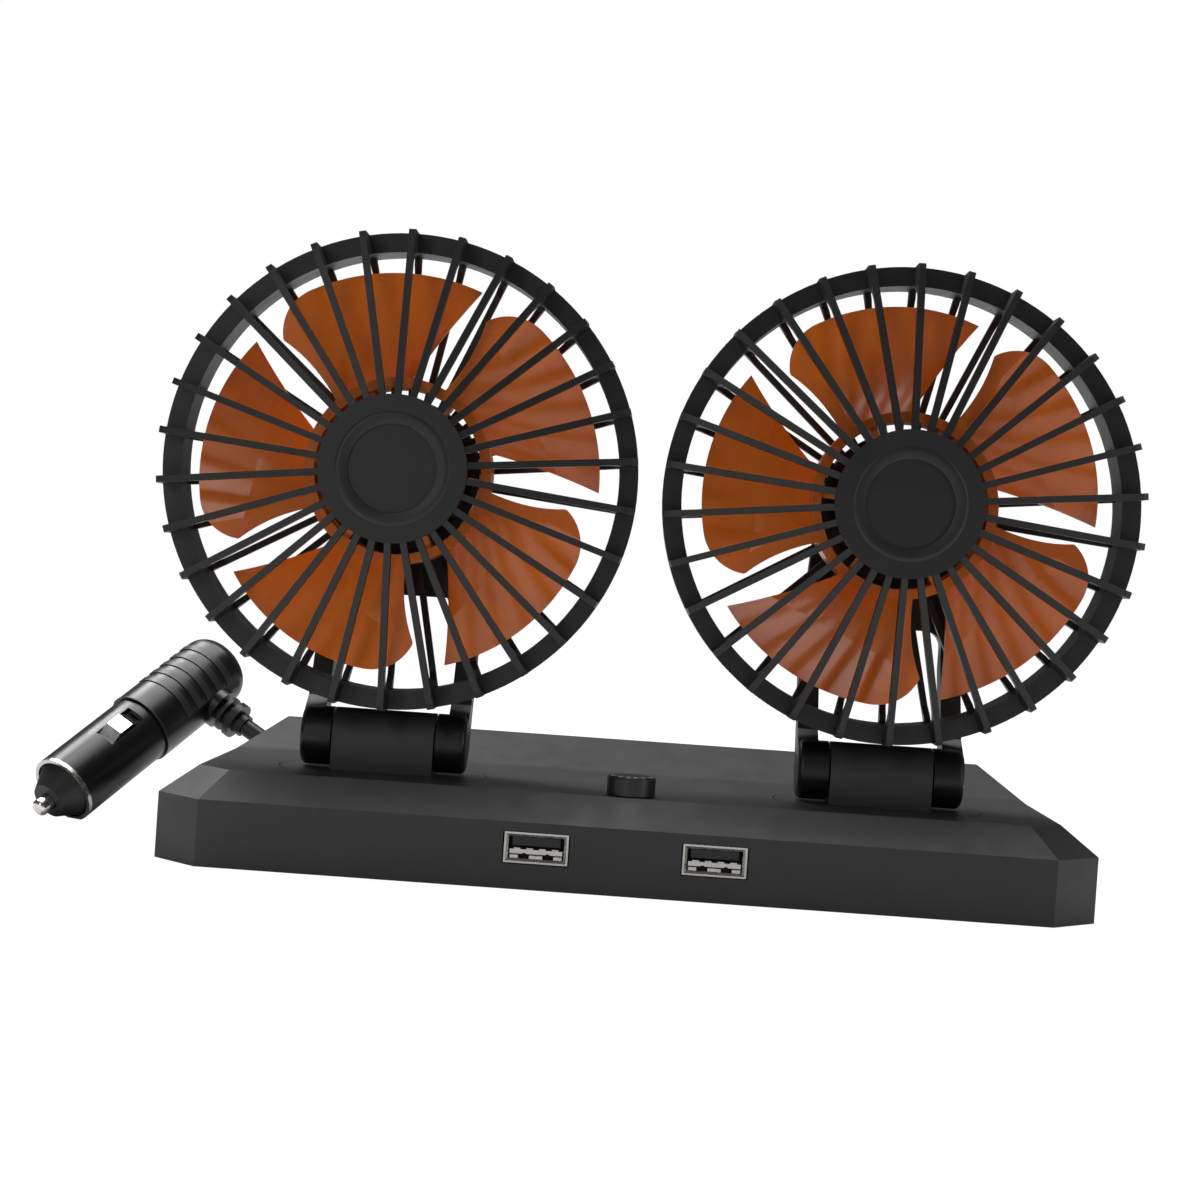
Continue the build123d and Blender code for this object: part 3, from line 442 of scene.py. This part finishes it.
def halfTurnPoints(centre, radius, far, fromZ, toZ, steps):
    reach = radius / math.cos(math.pi / 2 / steps)
    climbFrom, climbShare = cordFacts["climbFrom"], cordFacts["climbShare"]
    points = []
    for step in range(steps):
        share = (step + 0.5) / steps
        angle = math.pi * (1 - share) if far else -math.pi * share
        height = fromZ + (toZ - fromZ) * min(1, max(0, (share - climbFrom) / climbShare))
        away = cordFacts["coilY"] + reach * math.sin(angle)
        points.append((centre + reach * math.cos(angle), away, height))
    return points


def coilPoints(facts):
    outer, pitch, steps = facts["outer"], facts["pitch"], facts["turnPoints"]
    winding = [outer - step * pitch / 2 for step in range(facts["upperTurns"])]
    points = []
    at = facts["glandX"]
    for step, radius in enumerate(winding):
        way = 1 if step % 2 == 0 else -1
        points += halfTurnPoints(at + way * radius, radius, way > 0, facts["highZ"], facts["highZ"], steps)
        at += 2 * way * radius
    climb = outer - facts["upperTurns"] * pitch / 2
    points += halfTurnPoints(at - climb, climb, False, facts["highZ"], facts["lowZ"], steps)
    at -= 2 * climb
    for step, radius in enumerate(list(reversed(winding))[: facts["lowerTurns"]]):
        way = 1 if step % 2 == 0 else -1
        points += halfTurnPoints(at + way * radius, radius, way > 0, facts["lowZ"], facts["lowZ"], steps)
        at += 2 * way * radius
    radius = winding[1]
    quarter = halfTurnPoints(at - radius, radius, False, facts["lowZ"], facts["lowZ"], steps)
    return points + quarter[: steps // 2]


leadPoints = [
    (-0.050, 0.055, 0.0082),
    (-0.050, 0.066, 0.0082),
    (-0.050, 0.078, 0.00745),
]
runPoints = [
    (-0.01340, 0.05950, 0.00235),
    (-0.03300, 0.05950, 0.00235),
    (-0.05650, 0.05700, 0.00235),
    (-0.07600, 0.05650, 0.00950),
    (-0.09103, 0.05129, 0.01767),
    (-0.10216, 0.05430, 0.02410),
]


def cordCurve(name, points, facts):
    curve = bpy.data.curves.new(name, "CURVE")
    curve.dimensions = "3D"
    curve.bevel_depth = facts["radius"]
    curve.bevel_resolution = facts["around"]
    curve.resolution_u = facts["along"]
    curve.use_fill_caps = True
    line = curve.splines.new("NURBS")
    line.points.add(len(points) - 1)
    for point, place in zip(line.points, points):
        point.co = (*place, 1)
    line.order_u = 3
    line.use_endpoint_u = True
    piece = bpy.data.objects.new(name, curve)
    bpy.context.scene.collection.objects.link(piece)
    curve.materials.append(finishes["cordSheath"])
    return piece


powerCord = cordCurve("powerCord", leadPoints + coilPoints(cordFacts) + runPoints, cordFacts)
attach(powerCord, "base")
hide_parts("cord_lead", "cord_coil", "cord_run")
print("lead laid, coil and plug run")

# pale floor and soft studio light

studioFacts = dict(floorReach=6, floorGrey=0.90, floorRough=0.9, floorGloss=0.1, glow=1.16, glowShare=0.85,
                   ambient=0.13)


def paleFloor(facts):
    ground = bpy.data.meshes.new("studioFloor")
    build = bmesh.new()
    bmesh.ops.create_grid(build, x_segments=1, y_segments=1, size=facts["floorReach"])
    build.to_mesh(ground)
    build.free()
    floor = bpy.data.objects.new("studioFloor", ground)
    bpy.context.scene.collection.objects.link(floor)
    material, tree, shader, place = newMaterial("studioFloor")
    shader.inputs["Base Color"].default_value = (*[facts["floorGrey"]] * 3, 1)
    shader.inputs["Roughness"].default_value = facts["floorRough"]
    shader.inputs["Specular IOR Level"].default_value = facts["floorGloss"]
    glow = tree.nodes.new("ShaderNodeEmission")
    glow.inputs["Strength"].default_value = facts["glow"]
    rays = tree.nodes.new("ShaderNodeLightPath")
    most = tree.nodes.new("ShaderNodeMath")
    most.operation = "MULTIPLY"
    most.inputs[1].default_value = facts["glowShare"]
    link(tree, rays, "Is Camera Ray", most, 0)
    mix = tree.nodes.new("ShaderNodeMixShader")
    link(tree, most, "Value", mix, 0)
    link(tree, shader, "BSDF", mix, 1)
    link(tree, glow, "Emission", mix, 2)
    link(tree, mix, "Shader", tree.nodes["Material Output"], "Surface")
    ground.materials.append(material)


def paleWorld(strength):
    world = bpy.data.worlds.new("studioWorld")
    bpy.context.scene.world = world
    world.use_nodes = True
    tree = world.node_tree
    ambient = tree.nodes["Background"]
    ambient.inputs["Color"].default_value = (1, 1, 1, 1)
    ambient.inputs["Strength"].default_value = strength
    backdrop = tree.nodes.new("ShaderNodeBackground")
    backdrop.inputs["Color"].default_value = (1, 1, 1, 1)
    backdrop.inputs["Strength"].default_value = 1.0
    rays = tree.nodes.new("ShaderNodeLightPath")
    mix = tree.nodes.new("ShaderNodeMixShader")
    link(tree, rays, "Is Camera Ray", mix, 0)
    link(tree, ambient, "Background", mix, 1)
    link(tree, backdrop, "Background", mix, 2)
    link(tree, mix, "Shader", tree.nodes["World Output"], "Surface")


lampFacts = {
    "topSoftbox": dict(spot=(0.02, 0.16, 0.95), aim=(0, 0, 0.03), wide=0.7, tall=0.5, power=6.5),
    "leftSoftbox": dict(spot=(-0.46, 0.42, 0.80), aim=(-0.08, 0, 0.03), wide=0.30, tall=0.40, power=4.2),
    "frontStrip": dict(spot=(-0.42, -0.95, 0.45), aim=(0, 0, 0.09), wide=0.16, tall=0.8, power=1.15),
    "rightStrip": dict(spot=(0.75, -0.45, 0.30), aim=(0, 0, 0.08), wide=0.12, tall=0.8, power=1.2),
}


def softLamp(name, facts):
    data = bpy.data.lights.new(name, "AREA")
    data.shape = "RECTANGLE"
    data.size = facts["wide"]
    data.size_y = facts["tall"]
    data.energy = facts["power"]
    lamp = bpy.data.objects.new(name, data)
    bpy.context.scene.collection.objects.link(lamp)
    spot = Vector(facts["spot"])
    lamp.matrix_world = Matrix.Translation(spot) @ (
        (spot - Vector(facts["aim"])).to_track_quat("Z", "Y").to_matrix().to_4x4()
    )


paleFloor(studioFacts)
paleWorld(studioFacts["ambient"])
for name, facts in lampFacts.items():
    softLamp(name, facts)
bpy.context.scene.view_settings.view_transform = "Standard"
print("studio lit")
